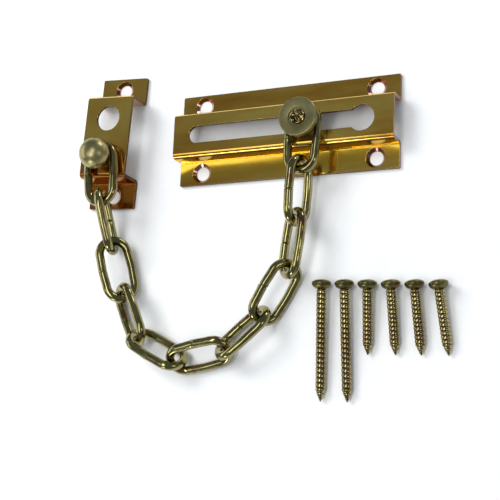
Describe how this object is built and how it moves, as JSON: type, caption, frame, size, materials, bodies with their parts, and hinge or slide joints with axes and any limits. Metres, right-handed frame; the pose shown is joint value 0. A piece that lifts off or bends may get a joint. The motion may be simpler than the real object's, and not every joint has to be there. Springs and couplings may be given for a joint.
{
  "type": "door chain guard",
  "caption": "Brass-finished door chain guard: slotted track plate with a sliding stud, welded-link chain, anchor bracket with a domed rivet, and loose wood screws.",
  "frame": {"origin": "middle of the back face of the track plate's lower flange, on the surface everything lies on", "axes": "+X along the slot from its closed end to the entry hole, +Y across the track away from the chain, +Z out from the door face"},
  "size_m": [0.1675, 0.1489, 0.0268],
  "materials": {
    "track_brass": "polished, lacquered",
    "anchor_brass": "polished, lacquered",
    "chain_plating": "bright olive-brass plating",
    "slider_plating": "satin olive-brass plating",
    "rivet_plating": "bright olive-brass plating",
    "screw_plating": "bright olive-brass plating"
  },
  "bodies": {
    "track": {"track_plate": "track_brass"},
    "slider": {"slider_stud": "slider_plating", "slider_disc": "slider_plating"},
    "link_11": {"chain_link_11": "chain_plating"},
    "link_10": {"chain_link_10": "chain_plating"},
    "link_09": {"chain_link_09": "chain_plating"},
    "link_08": {"chain_link_08": "chain_plating"},
    "link_07": {"chain_link_07": "chain_plating"},
    "link_06": {"chain_link_06": "chain_plating"},
    "link_05": {"chain_link_05": "chain_plating"},
    "link_04": {"chain_link_04": "chain_plating"},
    "link_03": {"chain_link_03": "chain_plating"},
    "link_02": {"chain_link_02": "chain_plating"},
    "link_01": {"chain_link_01": "chain_plating"},
    "anchor": {"anchor_bracket": "anchor_brass", "anchor_rivet": "rivet_plating"},
    "screw_long_1": {"screw_long_1": "screw_plating"},
    "screw_long_2": {"screw_long_2": "screw_plating"},
    "screw_short_1": {"screw_short_1": "screw_plating"},
    "screw_short_2": {"screw_short_2": "screw_plating"},
    "screw_short_3": {"screw_short_3": "screw_plating"},
    "screw_short_4": {"screw_short_4": "screw_plating"}
  },
  "joints": [
    {"name": "slider_travel", "type": "slide", "parent": "track", "child": "slider", "axis": [1, 0, 0], "range_m": [-0.0506, 0.0244]},
    {"name": "stud_swing", "type": "hinge", "parent": "slider", "child": "link_11", "pos_m": [0.0116, 0.01512, 0.012], "axis": [0, 0, 1], "range_deg": [-20, 40]},
    {"name": "link_10_raise", "type": "hinge", "parent": "link_11", "child": "link_10", "pos_m": [0.01061, -0.00565, 0.012], "axis": [-1, 0, 0], "range_deg": [0, 40]},
    {"name": "link_09_swing", "type": "hinge", "parent": "link_10", "child": "link_09", "pos_m": [0.00833, -0.02713, 0.0089], "axis": [0, 0, 1], "range_deg": [-17, 9]},
    {"name": "link_08_raise", "type": "hinge", "parent": "link_09", "child": "link_08", "pos_m": [0.0049, -0.04618, 0.00686], "axis": [-1, 0, 0], "range_deg": [0, 18]},
    {"name": "link_07_swing", "type": "hinge", "parent": "link_08", "child": "link_07", "pos_m": [-0.00748, -0.06691, 0.00686], "axis": [0, 0, 1], "range_deg": [-20, 10]},
    {"name": "link_06_swing", "type": "hinge", "parent": "link_07", "child": "link_06", "pos_m": [-0.02502, -0.08012, 0.00642], "axis": [0, 0, 1], "range_deg": [-8, 5]},
    {"name": "link_05_swing", "type": "hinge", "parent": "link_06", "child": "link_05", "pos_m": [-0.0469, -0.08323, 0.00669], "axis": [0, 0, 1], "range_deg": [-2, 2]},
    {"name": "link_04_swing", "type": "hinge", "parent": "link_05", "child": "link_04", "pos_m": [-0.06568, -0.071, 0.00667], "axis": [0, 0, 1], "range_deg": [-3, 2]},
    {"name": "link_03_raise", "type": "hinge", "parent": "link_04", "child": "link_03", "pos_m": [-0.07271, -0.05235, 0.00595], "axis": [-1, 0, 0], "range_deg": [-19, 0]},
    {"name": "link_02_raise", "type": "hinge", "parent": "link_03", "child": "link_02", "pos_m": [-0.07856, -0.03143, 0.0078], "axis": [-1, 0, 0], "range_deg": [0, 16]},
    {"name": "link_01_raise", "type": "hinge", "parent": "link_02", "child": "link_01", "pos_m": [-0.08108, -0.01341, 0.0151], "axis": [-1, 0, 0], "range_deg": [-56, 0]},
    {"name": "rivet_swing", "type": "hinge", "parent": "link_01", "child": "anchor", "pos_m": [-0.08275, 0.00743, 0.0151], "axis": [0, 0, 1], "range_deg": [-3, 5]},
    {"name": "screw_long_1_lift", "type": "slide", "parent": "track", "child": "screw_long_1", "axis": [0, 0, 1], "range_m": [0, 0.02]},
    {"name": "screw_long_2_lift", "type": "slide", "parent": "track", "child": "screw_long_2", "axis": [0, 0, 1], "range_m": [0, 0.02]},
    {"name": "screw_short_1_lift", "type": "slide", "parent": "track", "child": "screw_short_1", "axis": [0, 0, 1], "range_m": [0, 0.02]},
    {"name": "screw_short_2_lift", "type": "slide", "parent": "track", "child": "screw_short_2", "axis": [0, 0, 1], "range_m": [0, 0.02]},
    {"name": "screw_short_3_lift", "type": "slide", "parent": "track", "child": "screw_short_3", "axis": [0, 0, 1], "range_m": [0, 0.02]},
    {"name": "screw_short_4_lift", "type": "slide", "parent": "track", "child": "screw_short_4", "axis": [0, 0, 1], "range_m": [0, 0.02]}
  ],
  "couplings": [
    {"joint": "stud_swing", "follows": "slider_travel", "rad_per_m": -13.243},
    {"joint": "link_09_swing", "follows": "slider_travel", "rad_per_m": 5.209},
    {"joint": "link_07_swing", "follows": "slider_travel", "rad_per_m": 6.295},
    {"joint": "link_06_swing", "follows": "slider_travel", "rad_per_m": 2.242},
    {"joint": "link_05_swing", "follows": "slider_travel", "rad_per_m": 0.173},
    {"joint": "link_04_swing", "follows": "slider_travel", "rad_per_m": 0.601},
    {"joint": "link_03_raise", "follows": "link_08_raise", "ratio": -1},
    {"joint": "link_02_raise", "follows": "link_10_raise", "ratio": 0.3641},
    {"joint": "link_01_raise", "follows": "link_10_raise", "ratio": -1.3625},
    {"joint": "rivet_swing", "follows": "slider_travel", "rad_per_m": -1.29}
  ]
}
